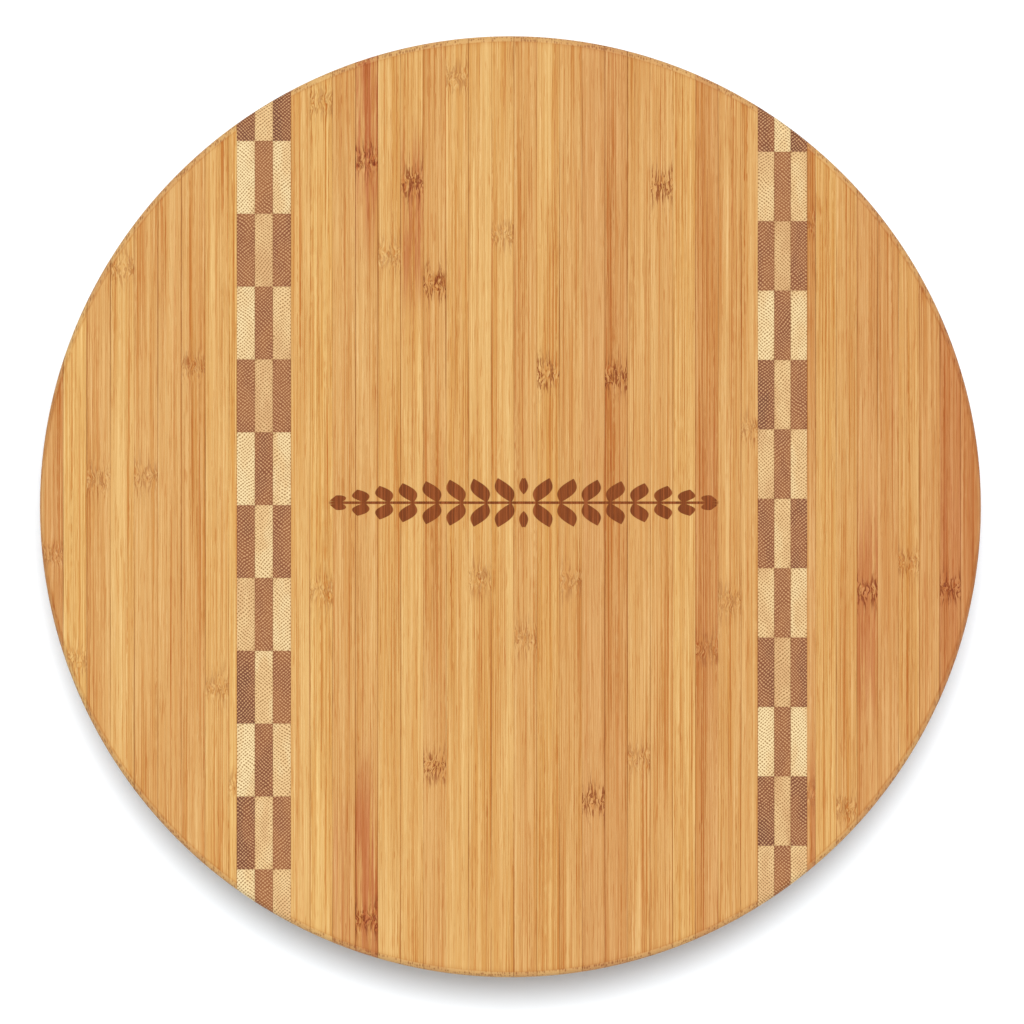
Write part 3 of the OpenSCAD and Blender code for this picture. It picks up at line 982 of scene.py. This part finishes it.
        # The middle column's light and dark blocks are nearer to each other in tone
        tones = {
            "edge": (0.0, 0.7) if light else (0.25, 1.0),
            "centre": (0.35, 1.0) if light else (0.0, 0.5),
        }
        first = int(np.floor((-self.radius - joint) / length))
        last = int(np.ceil((self.radius - joint) / length))
        for part, columns in (("edge", (0, 2)), ("centre", (1,))):
            shell = Shell()
            for column in columns:
                for row in range(first, last):
                    low = joint + row * length
                    left = x[0] + column * width
                    nearest = min(abs(low), abs(low + length)) if low * (low + length) > 0 else 0
                    inside = min(abs(left), abs(left + width))
                    if ((row + column) % 2 == 0) != light:
                        continue
                    if np.hypot(nearest, inside) >= self.radius:
                        continue
                    self.piece(
                        shell, (left, left + width), (low, low + length), 6, 8,
                        seed=float(131 * (row + 20) + 57 * column),
                        shade=float(np.interp(shades[row + 20, column], (0, 1), tones[part])),
                    )
            tone = "light" if light else "dark"
            node = f"{side}_inlay_{tone}_{part}_blocks"
            mount(shell.build(node + "_sanded", finish), "turntable", node)

    def build(self) -> None:
        """Builds all the staves and inlay blocks."""
        long_grain = LongGrainBamboo().material()
        light = EndGrainBamboo(
            "bamboo end grain natural sanded",
            ground="d7bf90", warm="cfad7b", deep="c1996a", bundle="7f5829", strength=0.8,
        ).material()
        dark = EndGrainBamboo(
            "bamboo end grain steamed dark sanded",
            ground="87532d", warm="794526", deep="643720", bundle="c79b6e", strength=0.7,
        ).material()
        big = self.radius
        left = np.linspace(-big, self.left_inlay[0] - self.left_trim, len(self.LEFT))
        self.panel("left", self.LEFT, [*left, self.left_inlay[0]], long_grain)
        start = self.left_inlay[1] + self.centre_trims[0]
        stop = self.right_inlay[0] - self.centre_trims[1]
        centre = np.linspace(start, stop, len(self.CENTRE) - 1)
        self.panel(
            "centre", self.CENTRE, [self.left_inlay[1], *centre, self.right_inlay[0]], long_grain
        )
        right = np.linspace(self.right_inlay[1] + self.right_trim, big, len(self.RIGHT))
        self.panel("right", self.RIGHT, [self.right_inlay[1], *right], long_grain)
        for is_light, finish in ((True, light), (False, dark)):
            self.inlay("left", self.left_inlay, self.left_block, is_light, finish)
            self.inlay("right", self.right_inlay, self.right_block, is_light, finish)


# ---- Screws ----


@dataclass
class PanHeadScrew:
    """A pan-head wood screw that points up, with the head's underside at height 0."""

    shank_d: float = 3.5
    head_d: float = 7.0
    head_h: float = 2.0
    recess_w: float = 0.9
    recess_l: float = 3.8
    recess_h: float = 1.2
    tip_h: float = 2.5
    pitch: float = 1.35
    thread_h: float = 0.45

    def head(self) -> np.ndarray:
        """Makes the head's outside, with its cross recess.

        A square grid (a, b) is pressed into a disc by x = a sqrt(1 - b^2 / 2) and
        y = b sqrt(1 - a^2 / 2). The dome is z = -h + d (r / R)^2, and the recess is pushed in
        from it where (x, y) lies within the cross.

        Returns:
            The grid of points in millimetres, with Z up.
        """
        big = self.head_d / 2
        w, arm = self.recess_w / 2 / big, self.recess_l / 2 / big
        slot = [0.0, w - 0.03, w, w + 0.015, 0.3, arm - 0.06, arm, arm + 0.02]
        marks = [*slot, 0.7, 0.82, 0.92, 1.0]
        line = np.array([-m for m in marks[:0:-1]] + marks)
        a, b = np.meshgrid(line, line, indexing="ij")
        x, y = big * a * np.sqrt(1 - b * b / 2), big * b * np.sqrt(1 - a * a / 2)
        dome = -self.head_h + 0.4 * self.head_h * (x * x + y * y) / big**2

        def inside(u: np.ndarray, v: np.ndarray) -> np.ndarray:
            """Tells where a point lies in one arm: |u| <= arm length and |v| <= half its width."""
            return (np.abs(u) <= arm + 1e-6) & (np.abs(v) <= w + 1e-6)

        cross = inside(a, b) | inside(b, a)
        taper = 1 - 0.35 * np.maximum(np.abs(a), np.abs(b)) / arm
        z = dome + np.where(cross, self.recess_h * taper, 0)
        return np.stack([x, y, z], -1)

    def shank(self, length: float, angle: np.ndarray) -> np.ndarray:
        """Makes the threaded shank and its point.

        The radius is s(z) (R - h + h max(0, 1 - 4 |f - 1/2|)), with f the fraction of
        z / pitch - a / (2 pi) and s(z) the taper at the tip.

        Args:
            length: From the head's underside to the point, in millimetres.
            angle: The angle in radians of each of the grid's rows.

        Returns:
            The grid of points in millimetres, which wraps round the axis.
        """
        z = np.linspace(0, length, int(length / self.pitch * 7) + 1)[None, :]
        angle = angle[:, None]
        part = np.mod(z / self.pitch - angle / (2 * pi), 1.0)
        crest = np.maximum(0, 1 - 4 * np.abs(part - 0.5))
        taper = np.clip((length - z) / self.tip_h, 0.02, 1)
        radius = taper * (self.shank_d / 2 - self.thread_h * (1 - crest))
        return np.stack(
            [radius * np.cos(angle), radius * np.sin(angle), z + 0 * angle], -1
        )

    def group(
        self,
        node: str,
        body: str,
        places: np.ndarray,
        length: float,
        down: bool,
        finish: bpy.types.Material,
    ) -> None:
        """Builds one node's screws.

        Args:
            node: The CAD node.
            body: The body that the screws move with.
            places: Where each head's underside is, in millimetres.
            length: From the head's underside to the point, in millimetres.
            down: Whether the screws point down.
            finish: The screws' material.
        """
        shell = Shell()
        head = self.head()
        edge = np.concatenate([head[0, :-1], head[:-1, -1], head[-1, :0:-1], head[:0:-1, 0]])
        shank = self.shank(length, np.arctan2(edge[:, 1], edge[:, 0]))
        # From the dome's edge under the head, up the shank and over its point
        side = np.stack([edge, edge * (1, 1, 0)], 1)
        side = np.concatenate([side, shank, shank[:, -1:] * (0, 0, 1)], 1)
        for k, place in enumerate(places):
            turn = radians(25 + 47 * k)
            spin = np.array([[cos(turn), -sin(turn), 0], [sin(turn), cos(turn), 0], [0, 0, 1]])
            if down:
                spin = np.diag([1.0, -1.0, -1.0]) @ spin
            for grid, wrap in ((head, False), (side, True)):
                shell.grid((grid @ spin.T + place) * MM, flip=True, wrap=wrap)
        mount(shell.build(node + "_turned", finish, 30), body, node)


# ---- Bearing ----


@dataclass
class Bearing:
    """The stamped ball bearing: two square plates with their screws, a cage and its balls."""

    bottom: float = 14.0
    height: float = 8.0
    plate_t: float = 1.0
    race_r: float = 52.0
    ball_d: float = 4.76
    balls: int = 24
    hole_r: float = 65.1 * sqrt(2)
    bite: float = 7.0

    def build(self, steel: bpy.types.Material, zinc: bpy.types.Material) -> None:
        """Dresses the plates and cage and builds the balls and screws.

        Args:
            steel: The plates' material.
            zinc: The screws' material.
        """
        for node in ("upper_bearing_plate", "lower_bearing_plate"):
            dress(node, steel)
        nylon = MouldedPolymer(
            "nylon moulded natural",
            body="e9e6dc",
            worn="d6d1c2",
            roughness=0.42,
            grit=0.5,
            relief=0.00003,
        )
        dress("ball_cage", nylon.material())
        self.make_balls()
        screw = PanHeadScrew()
        top, low = self.bottom + self.height - self.plate_t, self.bottom + self.plate_t
        length = self.plate_t + self.bite
        upper = ring_places(4, self.hole_r, 45, top)
        lower = ring_places(4, self.hole_r, 90, low)
        screw.group("upper_plate_screws", "turntable", upper, length, False, zinc)
        screw.group("lower_plate_screws", "base", lower, length, True, zinc)

    def make_balls(self) -> None:
        """Builds the balls, each a half circle (R sin t, -R cos t) turned about its own axis."""
        chrome = BrightMetal(
            "bearing steel balls polished", bright="e2e3e4", cloud="c9cccf", roughness=0.08
        )
        turn = np.linspace(0, pi, 17)
        big = self.ball_d / 2
        ball = lathe(np.stack([big * np.sin(turn), -big * np.cos(turn)], -1), 28)
        ball[:, [0, -1], :2] = 0
        shell = Shell()
        for place in ring_places(self.balls, self.race_r, 0, self.bottom + self.height / 2):
            shell.grid((ball + place) * MM, wrap=True)
        mount(shell.build("bearing_balls_lapped", chrome.material()), "cage", "bearing_balls")


def dress(node: str, material: bpy.types.Material) -> None:
    """Gives a CAD node its material.

    Args:
        node: The node.
        material: Its new material.
    """
    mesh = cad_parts[node].data
    mesh.materials.clear()
    mesh.materials.append(material)
    log.info("%s keeps its CAD shape, in %s", node, material.name)


# ---- Base ----


@dataclass
class Base:
    """The base: three plies of bamboo on rubber feet, each with a washer and a screw."""

    foot_r: float = 100.065
    foot_turn: float = 22.5
    feet: int = 4
    foot_d: float = 19.0
    foot_h: float = 5.0
    foot_taper: float = 2.0
    foot_edge: float = 0.8
    recess_d: float = 10.0
    recess_h: float = 3.8
    hole_d: float = 4.5
    washer_t: float = 0.8
    screw_l: float = 9.0

    def foot(self) -> np.ndarray:
        """Makes one foot's profile turned about its axis.

        The outside is the cone from the lower edge to the base, with three shallow grooves
        0.12 mm deep cut by -0.12 exp(-((z - z_k) / 0.16)^2).

        Returns:
            The grid of points in millimetres, which wraps round the axis.
        """
        low, high = (self.foot_d - self.foot_taper) / 2, self.foot_d / 2
        turn = np.linspace(0, pi / 2, 7)
        round_r = low - self.foot_edge + self.foot_edge * np.sin(turn)
        round_z = self.foot_edge - self.foot_edge * np.cos(turn)
        z = np.linspace(self.foot_edge, self.foot_h, 60)[1:]
        cone = low + (high - low) * (z - self.foot_edge) / (self.foot_h - self.foot_edge)
        grooves = sum(0.12 * np.exp(-(((z - k) / 0.16) ** 2)) for k in (1.9, 2.9, 3.9))
        inner, hole = self.recess_d / 2, self.hole_d / 2
        floor = [(hole, self.foot_h), (hole, self.recess_h), (inner - 0.15, self.recess_h),
                 (inner, self.recess_h - 0.15), (inner, 0.2), (inner + 0.2, 0.0)]
        outside = [*zip(round_r, round_z), *zip(cone - grooves, z)]
        profile = np.array([*outside, *floor, outside[0]])
        return lathe(profile, 64)

    def build(self, steel: bpy.types.Material, zinc: bpy.types.Material) -> None:
        """Dresses the plies and washers and builds the feet and their screws.

        Args:
            steel: The washers' material.
            zinc: The screws' material.
        """
        along = PressedBamboo("bamboo ply pressed grain along", along_x=False).material()
        across = PressedBamboo(
            "bamboo ply pressed grain across", along_x=True, pale="ad8350", deep="875c32"
        ).material()
        dress("base_top_ply", along)
        dress("base_core_ply", across)
        dress("base_bottom_ply", along)
        dress("foot_washers", steel)
        rubber = MouldedPolymer(
            "rubber moulded black",
            body="26262a",
            worn="3a3a3d",
            roughness=0.72,
            grit=0.35,
            relief=0.00006,
        ).material()
        shell = Shell()
        foot = self.foot()
        for place in ring_places(self.feet, self.foot_r, self.foot_turn, 0):
            shell.grid((foot + place) * MM, wrap=True)
        mount(shell.build("rubber_feet_moulded", rubber), "base", "rubber_feet")
        heads = ring_places(self.feet, self.foot_r, self.foot_turn, self.recess_h - self.washer_t)
        PanHeadScrew().group("foot_screws", "base", heads, self.screw_l, False, zinc)


# ---- Stage ----


@dataclass
class Studio:
    """The floor, the light and the camera."""

    floor_half: float = 14.0
    camera_h: float = 3.04
    frame_w: float = 0.3866  # m of the board's top that the picture spans
    sensor: float = 36.0

    def floor(self) -> None:
        """Lays a flat white floor."""
        line = np.linspace(-self.floor_half, self.floor_half, 3)
        x, y = np.meshgrid(line, line, indexing="ij")
        g = Graph("white studio paper")
        g.fill(g.shader, {"Base Color": linear("f4f9fd"), "Roughness": 0.9})
        shell = Shell()
        shell.grid(np.stack([x, y, 0 * x], -1))
        shell.build("studio_floor", g.material)

    def lights(self) -> None:
        """Hangs a broad key light behind and above, a weak one in front, and an even sky."""
        for name, strength, angle, lean, turn in (
            ("key", 3.1, 30, 18, 180), ("fill", 0.5, 40, 50, 20),
        ):
            lamp = bpy.data.lights.new(name, "SUN")
            lamp.energy = strength
            lamp.angle = radians(angle)
            sun = bpy.data.objects.new(name, lamp)
            sun.rotation_euler = (radians(lean), 0, radians(turn))
            bpy.context.scene.collection.objects.link(sun)
        world = bpy.data.worlds.new("even white sky")
        bpy.context.scene.world = world
        world.use_nodes = True
        tree = world.node_tree
        tree.nodes.clear()
        seen = tree.nodes.new("ShaderNodeLightPath")
        dim, bright = (tree.nodes.new("ShaderNodeBackground") for _ in range(2))
        dim.inputs[1].default_value, bright.inputs[1].default_value = 0.43, 1.0
        dim.inputs[0].default_value = bright.inputs[0].default_value = (1, 1, 1, 1)
        mix = tree.nodes.new("ShaderNodeMixShader")
        output = tree.nodes.new("ShaderNodeOutputWorld")
        tree.links.new(seen.outputs["Is Camera Ray"], mix.inputs[0])
        tree.links.new(dim.outputs[0], mix.inputs[1])
        tree.links.new(bright.outputs[0], mix.inputs[2])
        tree.links.new(mix.outputs[0], output.inputs[0])

    def camera(self) -> None:
        """Sets a long lens square above the board, with the grain up the picture."""
        lens = bpy.data.cameras.new("camera")
        lens.sensor_width = self.sensor
        distance = self.camera_h - 0.04
        lens.lens = self.sensor / 2 / (self.frame_w / 2 / distance)
        camera = bpy.data.objects.new("camera", lens)
        camera.location = (0.0006, -0.002, self.camera_h)
        bpy.context.scene.collection.objects.link(camera)
        bpy.context.scene.camera = camera

    def build(self) -> None:
        """Sets the stage."""
        self.floor()
        self.lights()
        self.camera()
        bpy.context.scene.view_settings.view_transform = "Standard"


def main() -> None:
    """Builds each sub-assembly in order."""
    logging.basicConfig(level=logging.INFO, format="%(message)s")
    steel = GalvanisedSteel().material()
    zinc = BrightMetal(
        "steel screws bright zinc plated", bright="d8dadb", cloud="b4b3a6", roughness=0.22
    ).material()
    Studio().build()
    Base().build(steel, zinc)
    Bearing().build(steel, zinc)
    Board().build()


if __name__ == "__main__":
    main()
